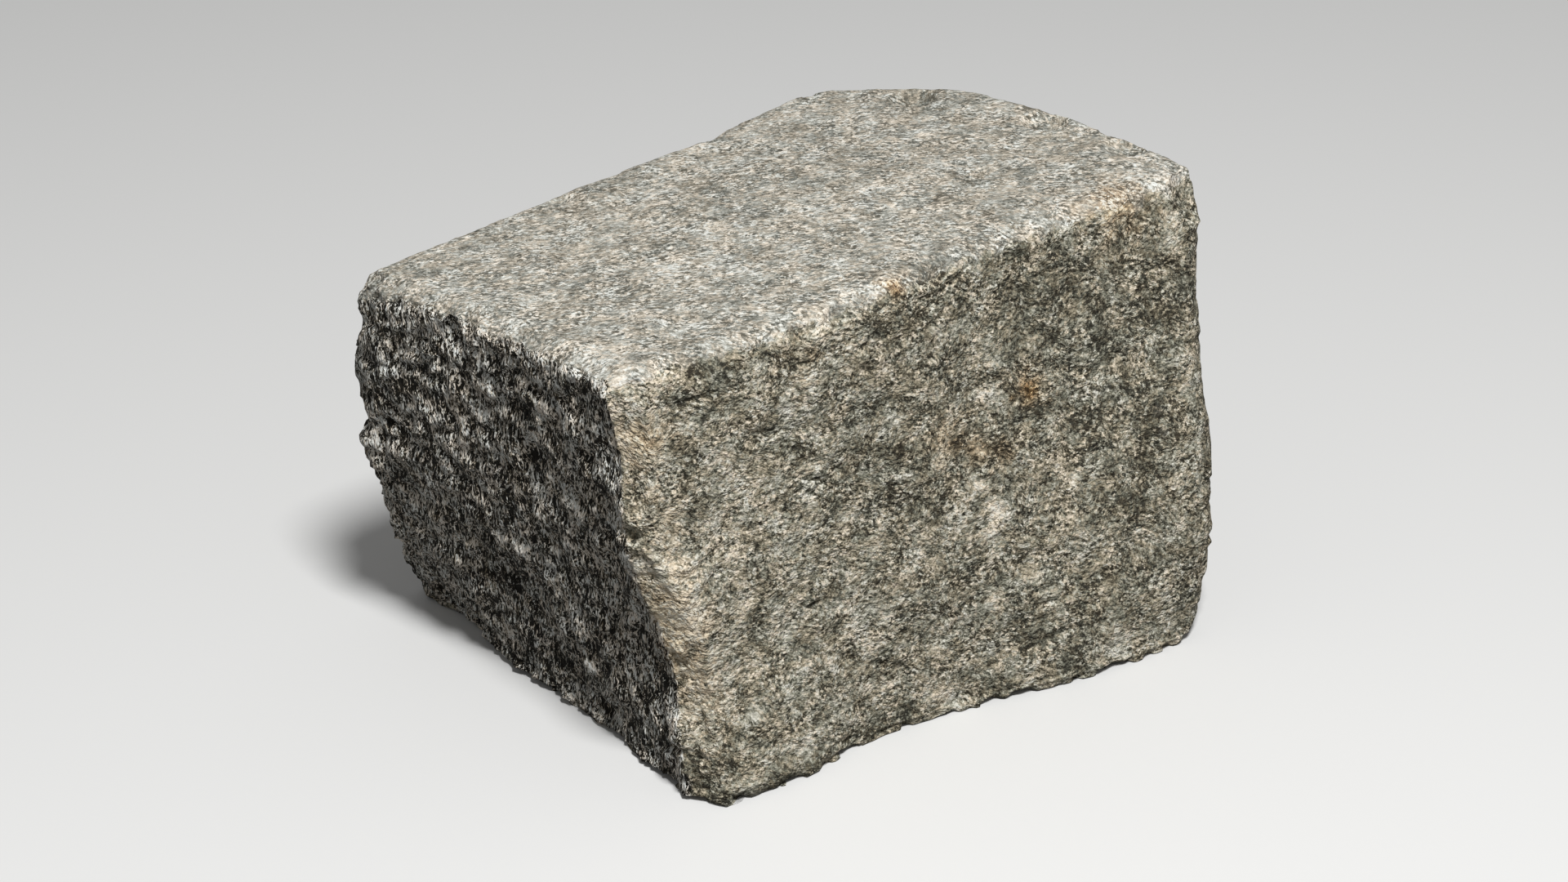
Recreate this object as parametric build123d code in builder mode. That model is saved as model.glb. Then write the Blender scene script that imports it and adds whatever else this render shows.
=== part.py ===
import os
from math import exp

from build123d import *

os.makedirs("parts", exist_ok=True)

# Nominal size, between the middles of opposite faces
length = 198.0
width = 144.0
height = 141.0

# How far each split face tips and twists outwards at its edges:
# slant along it, lean up it and wind from corner to corner
left_slant = -3.8
left_lean = 12.9
left_wind = -0.3
front_slant = 5.9
front_lean = -8.2
front_wind = -5.7
right_slant = -3.2
right_lean = 2.6
right_wind = -2.7
back_slant = -0.8
back_lean = -5.2
back_wind = -8.0
top_slant = 4.0
top_lean = -4.6
top_wind = 1.4

# Height of the swellings that the splitting left on each face, and depth of its hollows
left_back_swelling = 14.0
left_toe_swelling = 4.5
left_tooth = 9.0
left_foot_hollow = 6.0
front_brow_swelling = 4.0
front_side_swelling = 3.0
front_toe_swelling = 7.5
front_hollow = 4.0
front_foot_hollow = 4.0
front_heel_hollow = 5.0
right_side_swelling = 4.0
right_brow_swelling = 7.0
back_swelling = 4.0
back_brow_swelling = 4.0
back_brow_hollow = 3.0
top_swelling = 2.0
corner_swelling = 1.5

# The far corner is knocked off across its diagonal
far_corner_depth = 21.0

# Scars of the blows that trimmed the left face: place along it and up it from its middle,
# then the depth and the reach of each
left_scars = (
    (-48, 14, 3.0, 12),
    (-50, -12, 3.0, 10),
    (-14, -31, 4.0, 13),
    (6, -50, 2.5, 10),
    (12, 24, 2.5, 11),
    (58, -24, 3.5, 22),
)

# The top and the right front arris are worn round, and the others are broken to a bevel
top_arris_radius = 7.0
right_front_arris_radius = 12.0
upright_arris_bevel = 6.0
bed_arris_bevel = 3.0

# The stone is split out of a rough block that leaves this much waste on each side
waste = 30.0

# Steps along each way of the net that a split surface is drawn through, closer on the left
# face to take its scars
net_steps = 18
scarred_net_steps = 28


# Tipping and twisting of a face at x along it and y up it, measured from its middle
def tilt(x, y, across, up, slant, lean, wind):
    s = 2 * x / across
    t = 2 * y / up
    return slant * s + lean * t + wind * s * t


# A smooth bump of height 1 that fades away over its reach
def bump(x, y, along, up, reach):
    return exp(-((x - along) ** 2 + (y - up) ** 2) / reach**2)


# Outward offset of each split face. The left face runs back to front in its own x, the right
# front to back, the back face right to left, and the front and top left to right.
def left_offset(x, y):
    out = tilt(x, y, width, height, left_slant, left_lean, left_wind)
    out += left_back_swelling * bump(x, y, along=-width / 2, up=8, reach=62)
    out += left_toe_swelling * bump(x, y, along=width / 2, up=-height / 2, reach=40)
    out += left_tooth * bump(x, y, along=width / 2, up=18, reach=18)
    out -= left_foot_hollow * bump(x, y, along=-60, up=-height / 2, reach=23)
    for along, up, depth, reach in left_scars:
        out -= depth * bump(x, y, along, up, reach)
    return out


def front_offset(x, y):
    out = tilt(x, y, length, height, front_slant, front_lean, front_wind)
    out += front_brow_swelling * bump(x, y, along=-40, up=height / 2, reach=35)
    out += front_side_swelling * bump(x, y, along=length / 2, up=-20, reach=50)
    out += front_toe_swelling * bump(x, y, along=34 - length / 2, up=-height / 2, reach=26)
    out -= front_hollow * bump(x, y, along=50, up=35, reach=45)
    out -= front_foot_hollow * bump(x, y, along=-10, up=-height / 2, reach=42)
    out -= front_heel_hollow * bump(x, y, along=length / 2, up=-height / 2, reach=22)
    return out


def right_offset(x, y):
    out = tilt(x, y, width, height, right_slant, right_lean, right_wind)
    out += right_side_swelling * bump(x, y, along=-width / 2, up=-15, reach=60)
    out += right_brow_swelling * bump(x, y, along=-12, up=height / 2, reach=54)
    return out


def back_offset(x, y):
    out = tilt(x, y, length, height, back_slant, back_lean, back_wind)
    out += back_swelling * bump(x, y, along=0, up=0, reach=80)
    out += back_brow_swelling * bump(x, y, along=-60, up=height / 2, reach=28)
    out -= back_brow_hollow * bump(x, y, along=-5, up=height / 2, reach=30)
    return out


def top_offset(x, y):
    out = tilt(x, y, length, width, top_slant, top_lean, top_wind)
    out += top_swelling * bump(x, y, along=10, up=0, reach=70)
    return out


def corner_offset(x, y):
    return corner_swelling * bump(x, y, along=0, up=0, reach=60)


# Split surface over a plane, carried past the face's edges to reach through the waste
def cleft(plane, across, up, offset, net_steps):
    reach = 1.5 * waste
    rows = []
    for j in range(net_steps + 1):
        y = (up / 2 + reach) * (2 * j / net_steps - 1)
        row = []
        for i in range(net_steps + 1):
            x = (across / 2 + reach) * (2 * i / net_steps - 1)
            row.append(plane.from_local_coords((x, y, offset(x, y))))
        rows.append(row)
    return Face.make_surface_from_array_of_points(rows, tol=0.05, min_deg=3, max_deg=3)


# Planes of the nominal faces, with their normals outwards
left_plane = Plane(origin=(-length / 2, 0, height / 2), x_dir=(0, -1, 0), z_dir=(-1, 0, 0))
front_plane = Plane(origin=(0, -width / 2, height / 2), x_dir=(1, 0, 0), z_dir=(0, -1, 0))
right_plane = Plane(origin=(length / 2, 0, height / 2), x_dir=(0, 1, 0), z_dir=(1, 0, 0))
back_plane = Plane(origin=(0, width / 2, height / 2), x_dir=(-1, 0, 0), z_dir=(0, 1, 0))
top_plane = Plane(origin=(0, 0, height), x_dir=(1, 0, 0), z_dir=(0, 0, 1))
corner_normal = Vector(1, 1, 0).normalized()
corner_point = Vector(length / 2, width / 2, height / 2) - corner_normal * far_corner_depth
corner_plane = Plane(origin=corner_point, x_dir=(-1, 1, 0), z_dir=corner_normal)

splits = (
    (left_plane, cleft(left_plane, width, height, left_offset, scarred_net_steps)),
    (front_plane, cleft(front_plane, length, height, front_offset, net_steps)),
    (right_plane, cleft(right_plane, width, height, right_offset, net_steps)),
    (back_plane, cleft(back_plane, length, height, back_offset, net_steps)),
    (top_plane, cleft(top_plane, length, width, top_offset, net_steps)),
    (corner_plane, cleft(corner_plane, 3 * far_corner_depth, height, corner_offset, net_steps)),
)


# The upright arris where the right end meets the front face, among the given arrises
def right_front_arris(arrises):
    return arrises.sort_by_distance((length / 2, -width / 2, height / 2))[0]


# Arrises that run most of the way up the stone
def upright_arrises(block):
    return block.edges().filter_by(lambda edge: edge.bounding_box().size.Z > height / 2)


with BuildPart() as rough:
    Box(
        length + 2 * waste,
        width + 2 * waste,
        height + waste,
        align=(Align.CENTER, Align.CENTER, Align.MIN),
    )
    for plane, surface in splits:
        extrude(surface, amount=3 * waste, dir=plane.z_dir, mode=Mode.SUBTRACT)

    uprights = upright_arrises(rough)
    chamfer(uprights - [right_front_arris(uprights)], upright_arris_bevel)
    fillet(right_front_arris(upright_arrises(rough)), right_front_arris_radius)
    fillet(rough.faces().sort_by(Axis.Z)[-1].edges(), top_arris_radius)
    chamfer(rough.faces().sort_by(Axis.Z)[0].edges(), bed_arris_bevel)

# The origin is the middle of the stone's box, on its bed
middle = rough.part.bounding_box().center()
with BuildPart() as cobblestone:
    add(rough.part.moved(Location((-middle.X, -middle.Y, 0))))

cobblestone.part.label = "cobblestone"
export_step(cobblestone.part, "parts/cobblestone.step")

size = cobblestone.part.bounding_box().size
print(f"cobblestone {size.X:.1f} x {size.Y:.1f} x {size.Z:.1f} mm")
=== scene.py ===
import math

import bpy
import numpy as np
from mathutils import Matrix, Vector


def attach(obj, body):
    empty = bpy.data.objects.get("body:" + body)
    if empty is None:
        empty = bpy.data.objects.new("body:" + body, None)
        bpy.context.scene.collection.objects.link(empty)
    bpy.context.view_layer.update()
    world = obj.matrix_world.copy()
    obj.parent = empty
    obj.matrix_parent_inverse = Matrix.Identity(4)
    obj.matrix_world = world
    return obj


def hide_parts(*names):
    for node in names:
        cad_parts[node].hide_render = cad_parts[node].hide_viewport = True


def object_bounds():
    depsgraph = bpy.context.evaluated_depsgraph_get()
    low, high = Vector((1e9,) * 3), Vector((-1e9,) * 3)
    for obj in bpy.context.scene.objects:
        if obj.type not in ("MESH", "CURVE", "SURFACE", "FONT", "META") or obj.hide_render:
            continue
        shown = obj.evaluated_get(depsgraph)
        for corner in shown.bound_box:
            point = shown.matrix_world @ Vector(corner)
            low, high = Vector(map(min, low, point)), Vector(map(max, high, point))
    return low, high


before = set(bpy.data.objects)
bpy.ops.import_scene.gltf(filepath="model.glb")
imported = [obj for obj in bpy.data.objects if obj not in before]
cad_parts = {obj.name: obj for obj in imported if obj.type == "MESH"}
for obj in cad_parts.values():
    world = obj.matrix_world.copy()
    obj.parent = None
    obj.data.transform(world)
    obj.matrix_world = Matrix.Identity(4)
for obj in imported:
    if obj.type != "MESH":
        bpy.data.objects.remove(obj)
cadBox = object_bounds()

perMetre = 1000                           # shapes are worked out in millimetres and made in metres
tiny = 1e-9                               # keeps divisors off zero

# Camera where the photograph was taken from, worked out from the stone's corners
view = {
    "place": (-0.6038, -0.8123, 0.6025),  # metres, in the stone's own frame
    "azimuth": 36.56,                     # degrees from +Y towards +X
    "elevation": 28.0,                    # degrees down from level
    "lens": 85.0, "sensor": 36.0,         # millimetres
    "nearest": 0.05,                      # metres from the camera to where its sight begins
}


# Camera at its place, turned to its azimuth and tipped down by its elevation
def placeCamera():
    data = bpy.data.cameras.new("camera")
    data.lens = view["lens"]
    data.sensor_width = view["sensor"]
    data.clip_start = view["nearest"]
    camera = bpy.data.objects.new("camera", data)
    camera.location = view["place"]
    camera.rotation_euler = (math.radians(90 - view["elevation"]), 0, -math.radians(view["azimuth"]))
    bpy.context.scene.collection.objects.link(camera)
    bpy.context.scene.camera = camera


# A plain block near the stone, in millimetres, from which its skin is wrapped on
block = {
    "cells": (160, 120, 104),             # divisions along X, Y and Z, about 1.4 mm each
    "foot": ((-78, -66), (102, -90), (101, 72), (-85, 87)),           # left front, then anticlockwise
    "head": ((-103, -61, 143), (113, -62, 148), (101, 78, 142), (-111, 60, 131)),
    "spread": 1.06,                       # how much larger than those corners it is made
}


# Points on the skin of a box lattice, 0 to 1 each way, and the quads between them facing outwards
def boxSkin(cells):
    number = np.full([n + 1 for n in cells], -1)
    place = np.indices(number.shape)
    outer = np.zeros(number.shape, bool)
    for axis, n in enumerate(cells):
        outer |= (place[axis] == 0) | (place[axis] == n)
    number[outer] = np.arange(outer.sum())
    share = np.stack([place[axis][outer] / n for axis, n in enumerate(cells)], 1)
    sides = (
        (number[:, :, 0], True), (number[:, :, -1], False),
        (number[:, 0, :], False), (number[:, -1, :], True),
        (number[0, :, :], True), (number[-1, :, :], False),
    )
    quads = []
    for grid, turned in sides:
        quad = np.stack([grid[:-1, :-1], grid[1:, :-1], grid[1:, 1:], grid[:-1, 1:]], -1).reshape(-1, 4)
        quads.append(quad[:, ::-1] if turned else quad)
    return share, np.concatenate(quads)


# Trilinear blend of the block's eight corners, spread about its middle
def blockPoints(share):
    u, v, w = share.T[:, :, None]
    foot = [np.array([x, y, 0.0]) for x, y in block["foot"]]
    head = [np.array(corner, float) for corner in block["head"]]
    low, high = (
        (1 - u) * (1 - v) * a + u * (1 - v) * b + u * v * c + (1 - u) * v * d
        for a, b, c, d in (foot, head)
    )
    points = low * (1 - w) + high * w
    middle = points.mean(0)
    return middle + (points - middle) * block["spread"]


# Mesh object from points in millimetres and quads
def makeMesh(name, points, quads):
    mesh = bpy.data.meshes.new(name)
    mesh.from_pydata((points / perMetre).tolist(), [], quads.tolist())
    mesh.polygons.foreach_set("use_smooth", np.ones(len(quads), bool))
    mesh.update()
    piece = bpy.data.objects.new(name, mesh)
    bpy.context.scene.collection.objects.link(piece)
    return piece


# The points drawn onto the nearest place of the target's surface
def wrapOnto(points, quads, target):
    helper = makeMesh("wrapHelper", points, quads)
    wrap = helper.modifiers.new("wrap", "SHRINKWRAP")
    wrap.target = target
    wrap.wrap_method = "NEAREST_SURFACEPOINT"
    bpy.context.view_layer.update()
    wrapped = helper.evaluated_get(bpy.context.evaluated_depsgraph_get())
    flat = np.empty(len(points) * 3, np.float32)
    wrapped.data.vertices.foreach_get("co", flat)
    bpy.data.meshes.remove(helper.data)
    return flat.reshape(-1, 3).astype(float) * perMetre


# Normal of each point: the sum of the cross products of its quads' diagonals
def skinNormals(points, quads):
    a, b, c, d = (points[quads[:, n]] for n in range(4))
    cross = np.cross(c - a, d - b)
    total = np.zeros_like(points)
    for n in range(4):
        for axis in range(3):
            total[:, axis] += np.bincount(quads[:, n], cross[:, axis], len(points))
    return total / np.linalg.norm(total, axis=1, keepdims=True).clip(tiny)


# Each value goes halfway to the average of its neighbours, a number of times, in one column or several
def relax(values, quads, times):
    ends = np.concatenate([quads[:, [n, (n + 1) % 4]] for n in range(4)])
    count = np.bincount(ends[:, 0], minlength=len(values))
    columns = values.reshape(len(values), -1).copy()
    for _ in range(times):
        for n in range(columns.shape[1]):
            near = np.bincount(ends[:, 0], columns[ends[:, 1], n], len(values)) / count
            columns[:, n] = (columns[:, n] + near) / 2
    return columns.reshape(values.shape)


mixers = (73856093, 19349663, 83492791)   # primes that make one number of a cell's three


# Gradient noise: random slopes at the corners of each cell, blended by a quintic fade, then widened to
# about -1 to 1. The count of slopes is a power of two.
def noise(points, seed, slopeCount=4096, span=1.7):
    slopes = np.random.default_rng(seed).normal(size=(slopeCount, 3))
    slopes /= np.linalg.norm(slopes, axis=1, keepdims=True)
    cell = np.floor(points).astype(np.int64)
    inside = points - cell
    fade = inside ** 3 * (inside * (inside * 6 - 15) + 10)
    total = np.zeros(len(points))
    for corner in np.ndindex(2, 2, 2):
        code = np.bitwise_xor.reduce((cell + corner) * mixers, axis=1)
        weight = np.prod(np.where(corner, fade, 1 - fade), axis=1)
        total += weight * ((inside - corner) * slopes[code & (slopeCount - 1)]).sum(1)
    return total * span


# Sum of noises, each octave half the size of the one before and gain times its height
def cloud(points, seed, octaves, gain=0.5):
    return sum(gain ** n * noise(points * 2 ** n, seed + n) for n in range(octaves))


# The same sum of noises that are folded at zero and taken from a height, so that they rise to sharp ridges
def crest(points, seed, octaves, gain=0.5, height=0.45):
    return sum(gain ** n * (height - np.abs(noise(points * 2 ** n, seed + n))) for n in range(octaves))


# Vectors of three noises
def drift(points, seeds):
    return np.stack([noise(points, seed) for seed in seeds], 1)


# 0 below low, 1 above high, and a smooth cubic between
def smooth(values, low, high):
    share = np.clip((values - low) / (high - low), 0, 1)
    return share * share * (3 - 2 * share)


# Arrises: where they depart from the solid's, in millimetres
arrises = {
    "bulge": (0.6, 2.2),                        # from where to where one stands out of its surroundings
    "keen": 0.8,                                # how much further those of the left end stand out
    "keenLeft": (55, 80),                       # from where to where that sets in to the left,
    "keenBack": (40, 60),                       # and ends to the back
    "swellings": (                              # place, reach and height
        ((-86, -62, 70), 13, 2.5), ((-83, -64, 55), 14, 2.5), ((-111, 62, 74), 20, 1.6),
    ),
    "footRise": 3.4,                            # up to where the bed's bevel is filled out, in places
    "footSlant": (0.15, 0.5),                   # level shares of the normal between which that sets in
    "footSize": 6, "footSeed": 71,              # of the patches of noise where it is
    "footPatches": (-0.30, 0.20),
}


# The left end's arrises pushed out by a share of their bulge, then each swelling by a bell of its reach
def swellArrises(points, normals, bulge):
    keen = arrises["keen"] * bulge.clip(0) * smooth(-points[:, 0], *arrises["keenLeft"])
    keen *= 1 - smooth(points[:, 1], *arrises["keenBack"])
    points = points + normals * keen[:, None]
    for place, reach, height in arrises["swellings"]:
        away = ((points - place) ** 2).sum(1)
        points = points + normals * (height * np.exp(-away / reach ** 2))[:, None]
    return points


# In patches, points below the foot's rise are carried level outwards by as much as they lie below it
def fillFoot(points, facing):
    level = facing * (1, 1, 0)
    slant = np.linalg.norm(level, axis=1).clip(tiny)
    patches = noise(points / arrises["footSize"], arrises["footSeed"])
    gap = (arrises["footRise"] - points[:, 2]).clip(0) * smooth(slant, *arrises["footSlant"])
    gap *= smooth(patches, *arrises["footPatches"])
    return points + level / slant[:, None] * gap[:, None]


# Blows: each took out a scoop, the part of a ball that reaches into the skin
blows = {
    "onArrises": 140, "radius": (4.0, 12.0), "depth": (0.4, 1.5),     # scattered ones, millimetres
    "onFaces": 60, "faceRadius": (9.0, 20.0), "faceDepth": (0.3, 1.0),
    "arrisHeights": (6, 30),                    # from where to where those on the arrises set in
    "faceSlant": (0.3, 0.7),                    # upright share of the normal where those on the faces end
    "stray": 1e-6,                              # chance of one off the arrises, against 1 on them
    "placed": (                                 # place, radius and depth
        ((-109, 17, 127), 7.0, 4.0), ((-84, -21, 8), 7.0, 2.5), ((-32, -72, 4), 8.0, 1.2),
        ((-99, -60, 91), 6.0, 1.8), ((100, -84, 3), 13.0, 2.5), ((84, 46, 142), 9.0, 4.5),
        ((102, 1, 145), 10.0, 4.5), ((106, -31, 147), 9.0, 4.0), ((112, -66, 144), 30.0, 4.5),
        ((-41, 62, 137), 6.0, 2.0), ((20, 68, 138), 10.0, 1.8),
    ),
    "seed": 7,
}


# Points inside a ball are carried straight out from its middle to its surface
def scoopOut(points, normals, at, radius, depth):
    middle = points[at] + normals[at] * (radius - depth)
    away = points - middle
    distance = np.linalg.norm(away, axis=1)
    inside = distance < radius
    points[inside] = middle + away[inside] * (radius / distance[inside].clip(tiny))[:, None]


# Scoops at points drawn by lot, on the arrises and on the faces round the stone, then at the placed ones
def knockChips(points, normals, arris):
    chipped = points.copy()
    random = np.random.default_rng(blows["seed"])
    onArrises = arris * smooth(points[:, 2], *blows["arrisHeights"]) + blows["stray"]
    onFaces = 1 - smooth(np.abs(normals[:, 2]), *blows["faceSlant"])
    for weights, count, radii, depths in (
        (onArrises, blows["onArrises"], blows["radius"], blows["depth"]),
        (onFaces, blows["onFaces"], blows["faceRadius"], blows["faceDepth"]),
    ):
        for at in random.choice(len(points), count, p=weights / weights.sum()):
            scoopOut(chipped, normals, at, random.uniform(*radii), random.uniform(*depths))
    for place, radius, depth in blows["placed"]:
        at = np.argmin(((points - place) ** 2).sum(1))
        scoopOut(chipped, normals, at, radius, depth)
    return chipped


# Relief of the stone, in millimetres
relief = {
    "heights": {                                # of the forms on each side
        "top": {"swell": 0.45, "grain": 0.20},
        "side": {"wave": 0.9, "hackle": 0.70, "ledge": 1.6, "grain": 0.18},
        "left": {"wave": 0.5, "furrow": 0.8, "lump": 3.0, "grain": 0.25},
        "bed": {"dip": 0.7},
    },
    "clouds": {                                 # size, or three along X, Y and Z, seed, octaves and gain
        "swell": (20, 51, 3, 0.5), "wave": (26, 11, 2, 0.5),
        "grain": (4.2, 31, 2, 0.7), "dip": (9, 61, 2, 0.5),
    },
    "crests": {
        "hackle": ((13, 8, 7), 21, 3, 0.5), "furrow": ((8, 5, 15), 41, 3, 0.6),
        "lump": ((13, 10, 11), 91, 3, 0.55),
    },
    "dipMiddle": 0.4, "lumpMiddle": 0.40,       # what a dip is lowered by, and a lump's crest is taken from
    "cleavage": ((1, 0, 0.25), (0, 1, 0), (-0.35, 0, 1)),   # the hackle's frame, which dips to the left
    "bend": 3, "bendSize": 9, "bendSeeds": (45, 46, 47),    # how far the lumps are bent aside
    "level": (0.45, 0.85), "leftward": (0.45, 0.8),         # shares of the normal where each side sets in
    "ledgeRise": 6.5, "ledgeWay": (0.10, 0.0, 1.0),         # from one ledge to the next, and which way
    "ledgeFace": 0.82,                          # share of that which is face, before the step back
    "ledgeWander": 1.5, "wanderSize": (26, 26, 12),         # how far they wander, in rises
    "ledgePatches": (0.0, 0.5), "patchSize": 17, "ledgeSeed": 95,
}


# Ledges: the face grows outwards going down, then steps back in; patches of noise fade them in and out
def ledges(points):
    seed, face = relief["ledgeSeed"], relief["ledgeFace"]
    wander = relief["ledgeWander"] * noise(points / relief["wanderSize"], seed)
    turns = points @ relief["ledgeWay"] / relief["ledgeRise"] + wander
    share = turns - np.floor(turns)
    saw = np.where(share > face, (share - face) / (1 - face), 1 - share / face)
    return (saw - 0.5) * smooth(noise(points / relief["patchSize"], seed + 1), *relief["ledgePatches"])


# On each side the sum of its forms times their heights, and the sides blended by how the skin faces
def stoneRelief(points, facing):
    flaky = points @ np.array(relief["cleavage"]).T
    bent = points + relief["bend"] * drift(points / relief["bendSize"], relief["bendSeeds"])
    places = {"hackle": flaky, "furrow": points, "lump": bent}
    forms = {"ledge": ledges(points)}
    for name, (size, *kind) in relief["clouds"].items():
        forms[name] = cloud(points / size, *kind)
    for name, (size, *kind) in relief["crests"].items():
        forms[name] = crest(places[name] / size, *kind)
    forms["dip"] = forms["dip"] - relief["dipMiddle"]
    forms["lump"] = relief["lumpMiddle"] - forms["lump"]
    top = smooth(facing[:, 2], *relief["level"])
    bed = smooth(-facing[:, 2], *relief["level"])
    left = smooth(-facing[:, 0], *relief["leftward"])
    upright = 1 - top - bed
    shares = {"top": top, "side": upright * (1 - left), "left": upright * left, "bed": bed}
    return sum(
        shares[side] * sum(height * forms[name] for name, height in heights.items())
        for side, heights in relief["heights"].items()
    )


# Marks on the skin: place, or both ends of a streak, in millimetres, then reach and strength
marks = {
    "ragged": {"rust": 0.6, "pale": 0.6, "crown": 0.4, "tone": 0.2},        # raggedness of their edges
    "raggedSize": 3.5, "seed": 97,
    "rust": (
        ((41, -66, 96), 4.5, 1.0), ((80, -59, 145), 9, 0.55), ((-8, -62, 143), 3, 0.9),
        ((-95, -62, 101), (-80, -68, 23), 9, 0.12), ((-94, -60, 120), 6, 0.5),
        ((8, -67, 92), (28, -68, 81), 5, 0.35), ((-91, -62, 68), (-86, -62, 42), 7, 0.30),
        ((-43, -66, 132), 7, 0.20),
    ),
    "pale": (                                   # veins and worn places
        ((55, -57, 145), 7, 0.55), ((67, -55, 146), 6, 0.6), ((25, -71, 63), 3.5, 1.0),
        ((-29, -66, 115), (-30, -66, 107), 2.2, 0.9), ((16, -68, 82), (25, -71, 63), 2.4, 0.9),
        ((25, -71, 63), (19, -73, 46), 2.6, 0.6), ((-9, -67, 100), (-2, -67, 92), 3.5, 0.6),
        ((48, -71, 69), (56, -74, 62), 4, 0.7), ((-99, -57, 138), 11, 1.0), ((-97, -60, 124), 9, 0.8),
        ((-93, -62, 112), 7, 0.7), ((-95, -62, 101), (-80, -68, 23), 10, 0.65),
        ((-93, -63, 78), (-86, -64, 58), 8, 0.6),
    ),
    "crown": (((-112, 54, 131), 10, 0.5),),     # where the top's paler finish comes over the arris
    "tone": (                                   # lighter and darker patches
        ((75, -70, 115), 34, -0.10), ((66, -76, 58), 10, -0.12), ((40, -66, 128), 22, -0.07),
        ((-62, -66, 45), 45, 0.06), ((30, -72, 20), 40, 0.01), ((-20, -66, 100), 25, -0.03),
        ((-44, -66, 100), (-4, -67, 92), 4, -0.13), ((56, -74, 59), (75, -79, 54), 5, -0.14),
        ((-56, -65, 137), (-39, -66, 130), 1.8, -0.35), ((92, -69, 104), (88, -75, 79), 13, -0.06),
        ((-82, -60, 138), 10, -0.15), ((-97, 15, 42), 24, -0.16), ((-42, -65, 132), 10, 0.22),
        ((-60, -65, 107), (-60, -65, 82), 12, 0.10), ((-45, -66, 100), 9, 0.10),
        ((-45, -67, 66), 9, 0.16), ((64, -71, 77), 10, -0.16), ((44, -67, 85), 12, -0.16),
        ((63, -75, 60), 8, 0.24), ((76, -82, 30), 11, -0.15), ((19, -76, 23), 9, 0.10),
        ((-28, -70, 16), 9, 0.10), ((79, -60, 142), 9, 0.09), ((-104, 10, 128), (-103, -33, 124), 7, 0.06),
        ((-88, -22, 32), 24, -0.14), ((-82, -66, 60), (-74, -68, 34), 9, 0.13),
        ((-78, -70, 12), 12, -0.12), ((99, -72, 100), (98, -79, 45), 8, 0.07), ((-98, -62, 88), 6, -0.10),
        ((98, -58, 144), 8, 0.13), ((38, -61, 128), 8, 0.12), ((-2, -58, 144), (20, -60, 143), 7, -0.10),
        ((-107, 14, 107), 12, 0.05), ((-104, -37, 121), 9, 0.05), ((-100, -55, 106), 9, -0.07),
        ((-98, -50, 87), 9, 0.06), ((-93, -63, 96), 8, -0.12), ((-80, -67, 76), 9, 0.08),
        ((-79, -68, 62), (-62, -67, 57), 9, 0.09), ((-45, -70, 38), 8, -0.10), ((25, -76, 31), 8, 0.08),
        ((-86, -55, 32), (-84, -52, 8), 9, -0.15), ((-88, -63, 64), (-85, -62, 44), 6, 0.13),
        ((-93, -55, 62), (-89, -51, 40), 6, -0.08), ((-82, -27, 140), 14, -0.06),
    ),
}


# Sum of one kind's marks, each a bell about its place or streak, with its reach made ragged by a cloud
def markStrength(points, kind):
    torn = 1 + marks["ragged"][kind] * cloud(points / marks["raggedSize"], marks["seed"], 2)
    total = np.zeros(len(points))
    for start, *end, reach, strength in marks[kind]:
        along = np.subtract(end[0] if end else start, start)
        share = np.clip((points - start) @ along / max(along @ along, 1), 0, 1)
        away = np.linalg.norm(points - start - share[:, None] * along, axis=1) / reach
        total += strength * np.exp(-(away * torn) ** 2)
    return total


# The skin: rounds of relaxing behind its measures, and where its finishes lie
skin = {
    "wrapRounds": 8, "normalRounds": 6, "facingRounds": 12, "bulgeRounds": 60, "chipRounds": 3,
    "dentRounds": 3, "shadedDent": (0.0, 0.5),        # millimetres that a dent lies deep, from no painted shade to full
    # a pit's depth, from no painted shade to full
    "pitRounds": 30, "shadedPit": (-0.2, 1.2),
    "torn": ((0.26, 6, 81), (0.16, 2.6, 82)),   # weight, size and seed of the noises at the borders
    "top": (0.40, 0.58), "left": (0.50, 0.75),  # shares of the normal where a finish sets in
    "overLeft": 0.10, "overFrom": (0.2, 0.6),   # the top's reaches further over the left arris
    "frontHold": 0.7,                           # and the left's stops sooner at the front
    "frontFrom": (0.25, 0.6),
    "toneDrift": 0.10, "sideDrift": 0.05,       # height of the tone's cloud, and what the sides add to it
    "levelFrom": 0.5, "toneSize": 16, "toneSeed": 98,
    "sway": 1.4, "swaySize": 15, "swaySeeds": (101, 102, 103),        # how far the grain is bent aside
    "flutterParts": 3, "flutterSize": 6, "flutterSeeds": (104, 105, 106),   # finer, and as many times less
}


# Dents and pits are how deep a point lies below the relaxed skin; the colour is darkened there as painted
# shade. A finish's share grows with how much the skin faces its way, with torn borders. Rust, pale and tone
# are sums of marks, tone with a cloud.
def finishShares(points, quads, facing):
    near = relax(points, quads, skin["dentRounds"])
    wide = relax(points, quads, skin["pitRounds"])
    shadedDent = ((near - points) * skinNormals(near, quads)).sum(1)
    shadedPit = ((wide - near) * skinNormals(wide, quads)).sum(1)
    torn = sum(weight * noise(points / size, seed) for weight, size, seed in skin["torn"])
    upward = facing[:, 2] + torn + skin["overLeft"] * smooth(-facing[:, 0], *skin["overFrom"])
    upward += markStrength(points, "crown")
    leftward = -facing[:, 0] - skin["frontHold"] * smooth(-facing[:, 1], *skin["frontFrom"]) + torn
    driftHeight = skin["toneDrift"] + skin["sideDrift"] * (facing[:, 2] < skin["levelFrom"])
    toneDrift = driftHeight * cloud(points / skin["toneSize"], skin["toneSeed"], 3)
    return {
        "shadedDent": smooth(shadedDent, *skin["shadedDent"]),
        "shadedPit": smooth(shadedPit, *skin["shadedPit"]),
        "topShare": smooth(upward, *skin["top"]),
        "leftShare": smooth(leftward, *skin["left"]),
        "rust": markStrength(points, "rust"),
        "pale": markStrength(points, "pale"),
        "tone": markStrength(points, "tone") + toneDrift,
    }


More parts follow.
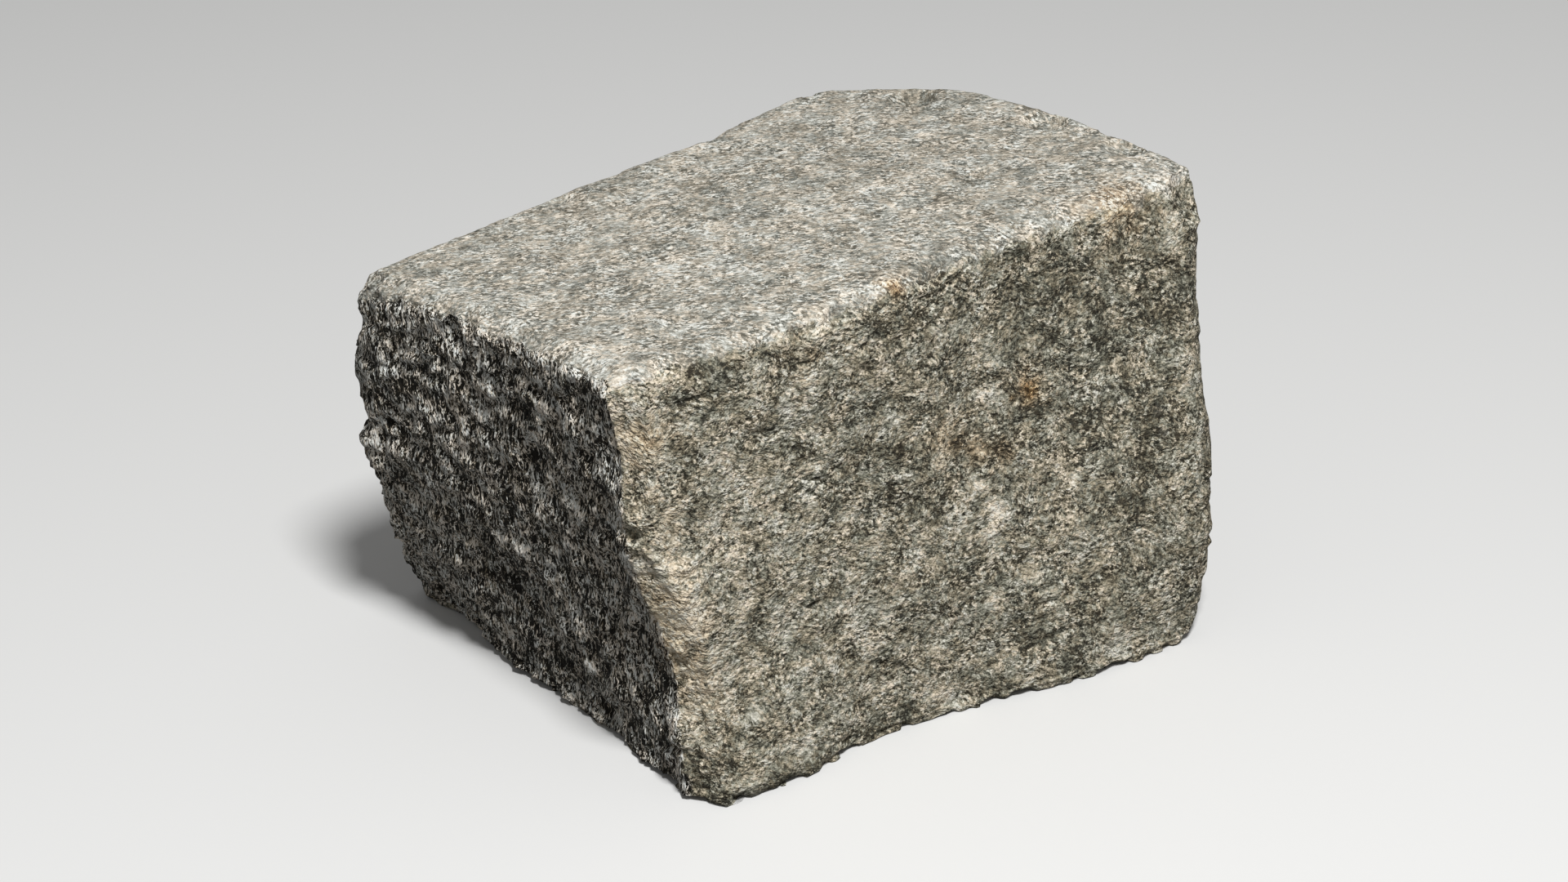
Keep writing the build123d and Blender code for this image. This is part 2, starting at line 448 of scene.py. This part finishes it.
# A broad drift and a finer, weaker one
def grainSway(points):
    broad = drift(points / skin["swaySize"], skin["swaySeeds"])
    fine = drift(points / skin["flutterSize"], skin["flutterSeeds"])
    return skin["sway"] * (broad + fine / skin["flutterParts"])


# The block wrapped on the solid, its arrises swollen, filled and chipped, the relief added along the
# normals, and all of it kept inside the solid's box. The finishes' shares are laid on the points.
def buildStone():
    node = bpy.data.objects["cobblestone"]
    share, quads = boxSkin(block["cells"])
    points = wrapOnto(blockPoints(share), quads, node)
    points = wrapOnto(relax(points, quads, skin["wrapRounds"]), quads, node)
    print("block wrapped on the solid")
    normals = skinNormals(relax(points, quads, skin["normalRounds"]), quads)
    facing = skinNormals(relax(points, quads, skin["facingRounds"]), quads)
    bulge = ((points - relax(points, quads, skin["bulgeRounds"])) * normals).sum(1)
    arris = smooth(bulge, *arrises["bulge"])
    points = fillFoot(swellArrises(points, normals, bulge), facing)
    points = knockChips(points, normals, arris)
    print("arrises swollen, filled and chipped")
    normals = skinNormals(relax(points, quads, skin["chipRounds"]), quads)
    points = points + normals * stoneRelief(points, facing)[:, None]
    low, high = (np.array(corner) * perMetre for corner in cadBox)
    points = np.clip(points, low, high)
    stone = makeMesh("stoneSkin", points, quads)
    layers = stone.data.attributes
    shares = {"arris": arris, **finishShares(points, quads, facing)}
    for name, values in shares.items():
        layers.new(name, "FLOAT", "POINT").data.foreach_set("value", values.astype(np.float32))
    sway = grainSway(points).astype(np.float32).ravel()
    layers.new("sway", "FLOAT_VECTOR", "POINT").data.foreach_set("vector", sway)
    print("stone skin", len(points), "points", len(quads) * 2, "triangles")
    return stone


# A shader node with its inputs set by value or linked by socket
def addNode(tree, kind, inputs=None, **settings):
    new = tree.nodes.new("ShaderNode" + kind)
    for name, value in settings.items():
        setattr(new, name, value)
    for name, value in (inputs or {}).items():
        if isinstance(value, bpy.types.NodeSocket):
            tree.links.new(value, new.inputs[name])
        else:
            new.inputs[name].default_value = value
    return new


# Arithmetic on numbers
def calc(tree, operation, *values):
    return addNode(tree, "Math", dict(enumerate(values)), operation=operation).outputs[0]


# Arithmetic on vectors
def calcVector(tree, operation, *values):
    return addNode(tree, "VectorMath", dict(enumerate(values)), operation=operation).outputs[0]


# The first color where the factor is 0, the second where it is 1, blended between
def mixColor(tree, factor, first, second, blend="MIX"):
    inputs = {0: factor, 6: first, 7: second}
    return addNode(tree, "Mix", inputs, data_type="RGBA", blend_type=blend).outputs[2]


# Value carried from the range low to high onto bottom to top, eased at both ends
def easeRange(tree, value, low, high, bottom=0.0, top=1.0):
    inputs = {"Value": value, "From Min": low, "From Max": high, "To Min": bottom, "To Max": top}
    return addNode(tree, "MapRange", inputs, interpolation_type="SMOOTHSTEP").outputs["Result"]


# How far a value of 0 to 1 lies above 0.5
def fromMiddle(tree, value):
    return calc(tree, "SUBTRACT", value, 0.5)


# Color ramp of (position, color) stops
def colorRamp(tree, value, stops):
    ramp = addNode(tree, "ValToRGB", {"Fac": value})
    elements = ramp.color_ramp.elements
    while len(elements) < len(stops):
        elements.new(0.5)
    for element, (position, color) in zip(elements, stops):
        element.position = position
        element.color = (*color, 1)
    return ramp.outputs["Color"]


# Empty node group with its named sockets, and the sockets inside it
def newGroup(name, inputs, outputs):
    group = bpy.data.node_groups.new(name, "ShaderNodeTree")
    for label, kind in inputs:
        group.interface.new_socket(label, in_out="INPUT", socket_type="NodeSocket" + kind)
    for label, kind in outputs:
        group.interface.new_socket(label, in_out="OUTPUT", socket_type="NodeSocket" + kind)
    return group, group.nodes.new("NodeGroupInput").outputs, group.nodes.new("NodeGroupOutput").inputs


# Patterns of the grain: their scales are per grain, and widths are in the noise's own values
mineral = {
    "patches": {"Scale": 0.16, "Detail": 3.0, "Roughness": 0.62},
    "lines": {"Scale": 0.50, "Detail": 2.0, "Roughness": 0.65},
    "dust": {"Scale": 0.95, "Detail": 2.0, "Roughness": 0.95},
    "crystals": {"Scale": 1.2},
    "warp": 2.0,                                # how far the crystals are bent aside, in grains
    "patchStrength": (0.38, 0.62, 0.60, 1.40),  # the grain's, from weak to strong patches
    "lineWidth": 0.05,
    "crackWidth": 0.016, "crackGaps": (0.42, 0.58),
    "hueDrift": 3.2, "hueRange": (-0.1, 1.1),
}


# Mineral grain, at places counted in grains. Place is drawn out along the grain, Patches isn't. Grain is a
# lot for each crystal of a warped cell pattern, with finer dust, stronger in some patches. Cloud is a
# coarser drift. Line is 1 on thin wandering lines, where a noise passes through its middle value, and
# Crack on long ones with gaps, where the patches do. Hue is 0 for greenish grey and 1 for warm.
def grainGroup():
    group, given, result = newGroup(
        "mineralGrain",
        (("Place", "Vector"), ("Patches", "Vector"), ("Crystals", "Float"), ("Dust", "Float")),
        (("Grain", "Float"), ("Cloud", "Float"), ("Line", "Float"), ("Crack", "Float"), ("Hue", "Float")),
    )
    place = given["Place"]
    patches = addNode(group, "TexNoise", {"Vector": given["Patches"], **mineral["patches"]}).outputs
    lines = addNode(group, "TexNoise", {"Vector": place, **mineral["lines"]}).outputs
    dust = addNode(group, "TexNoise", {"Vector": place, **mineral["dust"]}).outputs
    warp = calcVector(group, "SUBTRACT", lines["Color"], (0.5, 0.5, 0.5))
    warp = calcVector(group, "MULTIPLY", warp, (mineral["warp"],) * 3)
    warped = calcVector(group, "ADD", place, warp)
    cells = addNode(group, "TexVoronoi", {"Vector": warped, **mineral["crystals"]}).outputs
    lot = addNode(group, "SeparateColor", {"Color": cells["Color"]}).outputs
    drifts = addNode(group, "SeparateColor", {"Color": patches["Color"]}).outputs

    grain = calc(group, "MULTIPLY", fromMiddle(group, lot["Red"]), given["Crystals"])
    grain = calc(group, "MULTIPLY_ADD", fromMiddle(group, dust["Fac"]), given["Dust"], grain)
    grain = calc(group, "MULTIPLY", grain, easeRange(group, drifts["Blue"], *mineral["patchStrength"]))
    offLine = calc(group, "ABSOLUTE", fromMiddle(group, lines["Fac"]))
    split = fromMiddle(group, drifts["Green"])
    crack = easeRange(group, calc(group, "ABSOLUTE", split), mineral["crackWidth"], 0.0)
    crack = calc(group, "MULTIPLY", crack, easeRange(group, lines["Fac"], *mineral["crackGaps"]))
    hue = calc(group, "MULTIPLY_ADD", split, mineral["hueDrift"], lot["Green"])
    for name, value in (
        ("Grain", grain),
        ("Cloud", fromMiddle(group, patches["Fac"])),
        ("Line", easeRange(group, offLine, mineral["lineWidth"], 0.0)),
        ("Crack", crack),
        ("Hue", easeRange(group, hue, *mineral["hueRange"])),
    ):
        group.links.new(value, result[name])
    return group


# Granite. From base to pale, each value is a part of its tone, which goes from 0 for dark to 1 for light
granite = {
    "grain": 1.15,                              # millimetres across a crystal
    # On the left end the lower base and high contrast and cloud give its own darker streaky face and also
    # painted shade and painted sheen
    "base": (0.510, 0.473, 0.318),              # three numbers: on the sides, on the top and on the left end
    "contrast": (1.24, 1.38, 3.30),
    "cloud": (1.16, 0.80, 2.80),
    # lines: dark on the sides, light on the top; on the left end bright streaks, partly mineral and partly
    # painted sheen
    "lineAndSheen": (-0.12, 0.10, 0.95),
    "crack": (-0.30, -0.12, -0.20),
    # pit and dent darken the tone in the skin's hollows: painted shade
    "shadedPit": (-0.14, -0.05, -0.38),
    "shadedDent": -0.16, "arris": -0.05, "pale": 0.20,
    "crystals": (0.42, 0.42, 0.22), "dust": 1.50,           # of these the grain is made
    "sideLean": -27.0,                          # degrees that the sides' grain runs down towards the right
    "topTurn": 36.56,                           # degrees that the top's is turned about Z
    "sideDraw": (0.84, 1.08, 1.14),             # how each side's grain is drawn out, as scales along X, Y, Z
    "topDraw": (0.80, 1.25, 1.25),
    "leftDraw": (1.40, 1.40, 0.40),
    "sideTones": (                              # mica, green grey ground, warm grey, feldspar and quartz
        (0.06, (0.045, 0.041, 0.032)), (0.28, (0.150, 0.142, 0.108)), (0.50, (0.345, 0.327, 0.258)),
        (0.70, (0.570, 0.530, 0.440)), (0.95, (0.840, 0.790, 0.700)),
    ),
    "topTones": (
        (0.05, (0.110, 0.107, 0.092)), (0.30, (0.230, 0.224, 0.196)), (0.50, (0.385, 0.369, 0.327)),
        (0.70, (0.590, 0.567, 0.512)), (0.95, (0.840, 0.822, 0.780)),
    ),
    # the left end's ramp, near black to near white: its own streaky face with painted shade in the hollows
    # and painted sheen on the streaks
    "leftShadeAndSheenTones": (
        (0.19, (0.013, 0.012, 0.010)), (0.36, (0.060, 0.052, 0.038)), (0.52, (0.215, 0.193, 0.150)),
        (0.70, (0.570, 0.540, 0.475)), (0.92, (0.880, 0.860, 0.820)),
    ),
    "warmTint": (1.062, 0.987, 0.892), "coolTint": (0.957, 0.998, 0.998),
    "rust": (0.52, 0.30, 0.13), "rustStain": 0.75,
    "roughness": 0.82, "specular": 0.1,
    "bump": (3.0, 1.6, 4.0),                    # heights on the sides, the top and the left end
    "bumpHeight": 0.0006,                       # metres
    "bumpGrain": {"Scale": 0.55, "Detail": 2.0, "Roughness": 0.62},
}


# Tone is the sum of each pattern times its weight. It picks the colour from the ramp of its side, which is
# tinted by the hue and stained by the rust.
def graniteFinish():
    mat = bpy.data.materials.new("splitGranite")
    mat.use_nodes = True
    tree = mat.node_tree
    shader = tree.nodes["Principled BSDF"]

    # What is laid on the points of the skin under a name
    def laid(name, output="Fac"):
        return addNode(tree, "Attribute", attribute_name=name).outputs[output]

    place = calcVector(tree, "MULTIPLY", addNode(tree, "TexCoord").outputs["Object"], (perMetre,) * 3)
    place = calcVector(tree, "ADD", place, laid("sway", "Vector"))
    place = calcVector(tree, "DIVIDE", place, (granite["grain"],) * 3)
    topShare, leftShare = laid("topShare"), laid("leftShare")

    # Places turned, then scaled
    def drawn(turn, stretch):
        turned = addNode(tree, "Mapping", {"Vector": place, "Rotation": turn}).outputs[0]
        return calcVector(tree, "MULTIPLY", turned, stretch)

    # The first vector where the factor is up to 0.5, the second above
    def pick(factor, first, second):
        picked = calc(tree, "GREATER_THAN", factor, 0.5)
        return addNode(tree, "Mix", {0: picked, 4: first, 5: second}, data_type="VECTOR").outputs[1]

    # A named weight on the sides, the top and the left end, blended by the shares
    def weigh(name):
        onSides, onTop, onLeft = granite[name]
        sides = addNode(tree, "Mix", {0: leftShare, 2: onSides, 3: onLeft}).outputs[0]
        return addNode(tree, "Mix", {0: topShare, 2: sides, 3: onTop}).outputs[0]

    sideTurn = (0, math.radians(granite["sideLean"]), 0)
    topTurn = (0, 0, math.radians(granite["topTurn"]))
    spot = pick(leftShare, drawn(sideTurn, granite["sideDraw"]), drawn((0, 0, 0), granite["leftDraw"]))
    spot = pick(topShare, spot, drawn(topTurn, granite["topDraw"]))
    made = addNode(tree, "Group", node_tree=grainGroup())
    tree.links.new(spot, made.inputs["Place"])
    tree.links.new(place, made.inputs["Patches"])
    tree.links.new(weigh("crystals"), made.inputs["Crystals"])
    made.inputs["Dust"].default_value = granite["dust"]

    tone = calc(tree, "ADD", weigh("base"), laid("tone"))
    # the left end's line weight brightens its streaks: partly mineral, partly painted sheen
    for pattern, weight in (
        ("Grain", "contrast"), ("Cloud", "cloud"), ("Line", "lineAndSheen"), ("Crack", "crack"),
    ):
        tone = calc(tree, "MULTIPLY_ADD", made.outputs[pattern], weigh(weight), tone)
    # The dent and pit shares darken the tone: painted shade in the skin's hollows
    for name in ("arris", "pale", "shadedDent"):
        tone = calc(tree, "MULTIPLY_ADD", laid(name), granite[name], tone)
    tone = calc(tree, "MULTIPLY_ADD", laid("shadedPit"), weigh("shadedPit"), tone)

    color = colorRamp(tree, tone, granite["sideTones"])
    # the left end's ramp paints its shade and its sheen into the colour
    color = mixColor(tree, leftShare, color, colorRamp(tree, tone, granite["leftShadeAndSheenTones"]))
    color = mixColor(tree, topShare, color, colorRamp(tree, tone, granite["topTones"]))
    tint = mixColor(tree, made.outputs["Hue"], (*granite["coolTint"], 1), (*granite["warmTint"], 1))
    color = mixColor(tree, 1.0, color, tint, "MULTIPLY")
    stained = mixColor(tree, granite["rustStain"], color, (*granite["rust"], 1), "OVERLAY")
    color = mixColor(tree, laid("rust"), color, stained)
    tree.links.new(color, shader.inputs["Base Color"])
    shader.inputs["Roughness"].default_value = granite["roughness"]
    shader.inputs["Specular IOR Level"].default_value = granite["specular"]

    fine = addNode(tree, "TexNoise", {"Vector": spot, **granite["bumpGrain"]}).outputs["Fac"]
    fine = calc(tree, "MULTIPLY", fine, weigh("bump"))
    bump = addNode(tree, "Bump", {"Height": fine, "Strength": 1.0, "Distance": granite["bumpHeight"]})
    tree.links.new(bump.outputs["Normal"], shader.inputs["Normal"])
    return mat


# Studio: a key light above the front left, a weak even sky and a pale floor
studio = {
    "keyPlace": (-0.36, -0.80, 1.50), "keyAim": (0, 0, 0.07), "keySize": 0.35,      # metres
    "keyWatts": 28.0,
    "skyStrength": 0.20,
    "floorHalf": 6.0,                           # metres from its middle to its sides
    "floorSeen": (0.80, 0.80, 0.79), "floorBounce": (0.14, 0.14, 0.14),
    "floorRoughness": 0.9,
}


# A lamp shines down its own Z axis, so it is tipped and turned by the angles of the way to its aim
def placeLights():
    data = bpy.data.lights.new("key", "AREA")
    data.shape = "DISK"
    data.size = studio["keySize"]
    data.energy = studio["keyWatts"]
    key = bpy.data.objects.new("key", data)
    key.location = studio["keyPlace"]
    x, y, z = np.subtract(studio["keyPlace"], studio["keyAim"])
    key.rotation_euler = (math.acos(z / math.hypot(x, y, z)), 0, math.atan2(x, -y))
    bpy.context.scene.collection.objects.link(key)
    world = bpy.data.worlds.new("sky")
    bpy.context.scene.world = world
    world.use_nodes = True
    sky = world.node_tree.nodes["Background"].inputs
    sky["Color"].default_value = (1, 1, 1, 1)
    sky["Strength"].default_value = studio["skyStrength"]


# Paper that is pale where it is seen, mirrored or seen through glass, and throws less light on the stone
def floorFinish():
    mat = bpy.data.materials.new("floorPaper")
    mat.use_nodes = True
    tree = mat.node_tree
    shader = tree.nodes["Principled BSDF"]
    rays = addNode(tree, "LightPath").outputs
    seen = calc(tree, "MAXIMUM", rays["Is Camera Ray"], rays["Is Glossy Ray"])
    seen = calc(tree, "MAXIMUM", seen, rays["Is Transmission Ray"])
    color = mixColor(tree, seen, (*studio["floorBounce"], 1), (*studio["floorSeen"], 1))
    tree.links.new(color, shader.inputs["Base Color"])
    shader.inputs["Roughness"].default_value = studio["floorRoughness"]
    return mat


# One square under the stone
def layFloor():
    half = studio["floorHalf"] * perMetre
    corners = np.array([(-half, -half, 0), (half, -half, 0), (half, half, 0), (-half, half, 0)])
    floor = makeMesh("floor", corners, np.array([[0, 1, 2, 3]]))
    floor.data.materials.append(floorFinish())


placeCamera()
print("camera placed")
placeLights()
layFloor()
print("lights and floor placed")
stone = buildStone()
stone.data.materials.append(graniteFinish())
print("granite finish made")
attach(stone, "root")
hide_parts("cobblestone")
bpy.context.scene.view_settings.view_transform = "Standard"
